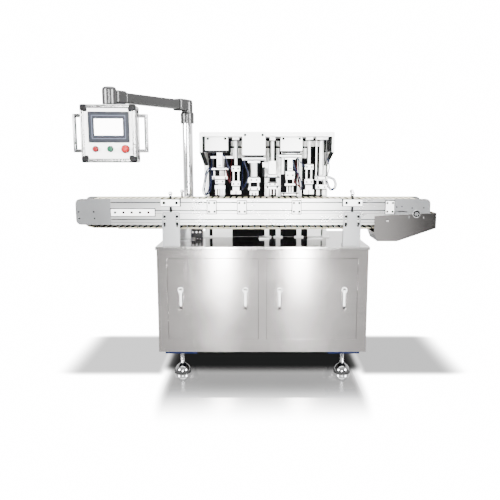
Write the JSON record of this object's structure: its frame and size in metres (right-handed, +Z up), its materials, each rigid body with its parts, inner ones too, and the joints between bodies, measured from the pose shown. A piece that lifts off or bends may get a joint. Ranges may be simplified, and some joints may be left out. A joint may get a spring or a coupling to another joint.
{
  "type": "bolus capping machine",
  "caption": "Stainless cabinet machine with a slat-chain conveyor, a gantry of pneumatic capping stations and an operator box on a swivel arm.",
  "frame": {"origin": "on the floor under the middle of the machine's box", "axes": "+X along the conveyor towards the drive end, +Y away from the operator, +Z up"},
  "size_m": [2.213, 1.0652, 1.748],
  "materials": {
    "brushed_stainless": "horizontally brushed",
    "polished_stainless": "polished",
    "anodised_aluminium": "satin anodised",
    "machined_aluminium": "machined",
    "shaft_steel": "turned",
    "black_enamel": "satin",
    "ivory_acetal": "moulded",
    "grey_cast_aluminium": "satin lacquered casting",
    "motor_enamel": "hammered",
    "screen_frame": "moulded",
    "red_button": "gloss",
    "green_button": "gloss",
    "navy_hose": "smooth"
  },
  "bodies": {
    "root": {"air_hose_left": "navy_hose", "air_hose_middle": "navy_hose", "air_hose_right": "navy_hose", "back_panel": "black_enamel", "cabinet": "brushed_stainless", "gantry_frame_left": "anodised_aluminium", "gantry_frame_right": "anodised_aluminium", "levelling_foot_front_left": "polished_stainless", "levelling_foot_front_right": "polished_stainless", "levelling_foot_rear_left": "polished_stainless", "levelling_foot_rear_right": "polished_stainless", "operator_pole": "polished_stainless", "rear_support": "machined_aluminium", "roof_plate": "anodised_aluminium", "station_1_body": "machined_aluminium", "station_2_body": "machined_aluminium", "station_3_body": "machined_aluminium", "station_4_body": "machined_aluminium", "station_5_body": "machined_aluminium", "station_6_body": "machined_aluminium", "station_7_body": "machined_aluminium", "support_bracket_front_left": "machined_aluminium", "support_bracket_front_right": "machined_aluminium", "support_bracket_rear_left": "machined_aluminium", "support_bracket_rear_right": "machined_aluminium", "table_top": "brushed_stainless"},
    "conveyor": {"front_rail": "anodised_aluminium", "rear_rail": "anodised_aluminium", "idler_plate_front": "anodised_aluminium", "idler_plate_rear": "anodised_aluminium", "drive_plate_front": "anodised_aluminium", "drive_plate_rear": "anodised_aluminium", "slat_chain": "ivory_acetal", "carrying_track": "anodised_aluminium", "return_track": "ivory_acetal", "drive_cover": "brushed_stainless", "gear_motor": "motor_enamel"},
    "drive": {"drive_shaft": "shaft_steel"},
    "idler": {"idler_shaft": "shaft_steel"},
    "panel_left": {"access_panel_left": "brushed_stainless"},
    "panel_right": {"access_panel_right": "brushed_stainless"},
    "latch_1": {"latch_lever_1": "polished_stainless"},
    "latch_2": {"latch_lever_2": "polished_stainless"},
    "latch_3": {"latch_lever_3": "polished_stainless"},
    "latch_4": {"latch_lever_4": "polished_stainless"},
    "arm": {"swivel_arm": "grey_cast_aluminium"},
    "box": {"control_box": "anodised_aluminium", "touch_screen": "screen_frame", "box_handle_left": "anodised_aluminium", "box_handle_right": "anodised_aluminium"},
    "stop": {"stop_button": "red_button"},
    "start": {"start_button": "green_button"},
    "emergency": {"emergency_button": "red_button"},
    "head_1": {"station_1_head": "machined_aluminium"},
    "head_2": {"station_2_head": "machined_aluminium"},
    "head_3": {"station_3_head": "machined_aluminium"},
    "head_4": {"station_4_head": "machined_aluminium"},
    "head_5": {"station_5_head": "machined_aluminium"},
    "head_6": {"station_6_head": "machined_aluminium"},
    "head_7": {"station_7_head": "machined_aluminium"}
  },
  "joints": [
    {"name": "conveyor_height", "type": "slide", "parent": "root", "child": "conveyor", "axis": [0, 0, 1], "range_m": [-0.015, 0.008]},
    {"name": "drive_turn", "type": "hinge", "parent": "conveyor", "child": "drive", "pos_m": [0.9811, -0.09694, 1.019], "axis": [0, 1, 0], "continuous": true},
    {"name": "idler_turn", "type": "hinge", "parent": "conveyor", "child": "idler", "pos_m": [-1.0001, -0.09694, 1.019], "axis": [0, 1, 0], "continuous": true},
    {"name": "panel_left_lift_off", "type": "slide", "parent": "root", "child": "panel_left", "axis": [0, -1, 0], "range_m": [0, 0.12]},
    {"name": "panel_right_lift_off", "type": "slide", "parent": "root", "child": "panel_right", "axis": [0, -1, 0], "range_m": [0, 0.12]},
    {"name": "latch_1_lift", "type": "hinge", "parent": "panel_left", "child": "latch_1", "pos_m": [-0.4665, -0.26079, 0.5445], "axis": [-1, 0, 0], "range_deg": [0, 60]},
    {"name": "latch_2_lift", "type": "hinge", "parent": "panel_left", "child": "latch_2", "pos_m": [-0.0665, -0.26079, 0.5445], "axis": [-1, 0, 0], "range_deg": [0, 60]},
    {"name": "latch_3_lift", "type": "hinge", "parent": "panel_right", "child": "latch_3", "pos_m": [0.1455, -0.26079, 0.5445], "axis": [-1, 0, 0], "range_deg": [0, 60]},
    {"name": "latch_4_lift", "type": "hinge", "parent": "panel_right", "child": "latch_4", "pos_m": [0.5455, -0.26079, 0.5445], "axis": [-1, 0, 0], "range_deg": [0, 60]},
    {"name": "arm_swivel", "type": "hinge", "parent": "root", "child": "arm", "pos_m": [-0.4515, 0.12881, 1.5795], "axis": [0, 0, 1], "range_deg": [-65, 45]},
    {"name": "box_swivel", "type": "hinge", "parent": "arm", "child": "box", "pos_m": [-0.8175, -0.43119, 1.655], "axis": [0, 0, 1], "range_deg": [-90, 90]},
    {"name": "stop_press", "type": "slide", "parent": "box", "child": "stop", "axis": [-0.0785, 0.9969, 0], "range_m": [0, 0.004], "stiffness_N_per_m": 400},
    {"name": "start_press", "type": "slide", "parent": "box", "child": "start", "axis": [-0.0785, 0.9969, 0], "range_m": [0, 0.004], "stiffness_N_per_m": 400},
    {"name": "emergency_press", "type": "slide", "parent": "box", "child": "emergency", "axis": [-0.0785, 0.9969, 0], "range_m": [0, 0.006]},
    {"name": "head_1_lift", "type": "slide", "parent": "root", "child": "head_1", "axis": [0, 0, 1], "range_m": [0, 0.035]},
    {"name": "head_2_lift", "type": "slide", "parent": "root", "child": "head_2", "axis": [0, 0, 1], "range_m": [0, 0.059]},
    {"name": "head_3_lift", "type": "slide", "parent": "root", "child": "head_3", "axis": [0, 0, 1], "range_m": [0, 0.028]},
    {"name": "head_4_lift", "type": "slide", "parent": "root", "child": "head_4", "axis": [0, 0, 1], "range_m": [0, 0.026]},
    {"name": "head_5_lift", "type": "slide", "parent": "root", "child": "head_5", "axis": [0, 0, 1], "range_m": [0, 0.026]},
    {"name": "head_6_lift", "type": "slide", "parent": "root", "child": "head_6", "axis": [0, 0, 1], "range_m": [0, 0.059]},
    {"name": "head_7_lift", "type": "slide", "parent": "root", "child": "head_7", "axis": [0, 0, 1], "range_m": [0, 0.027]}
  ],
  "couplings": [
    {"joint": "idler_turn", "follows": "drive_turn", "ratio": 1}
  ]
}
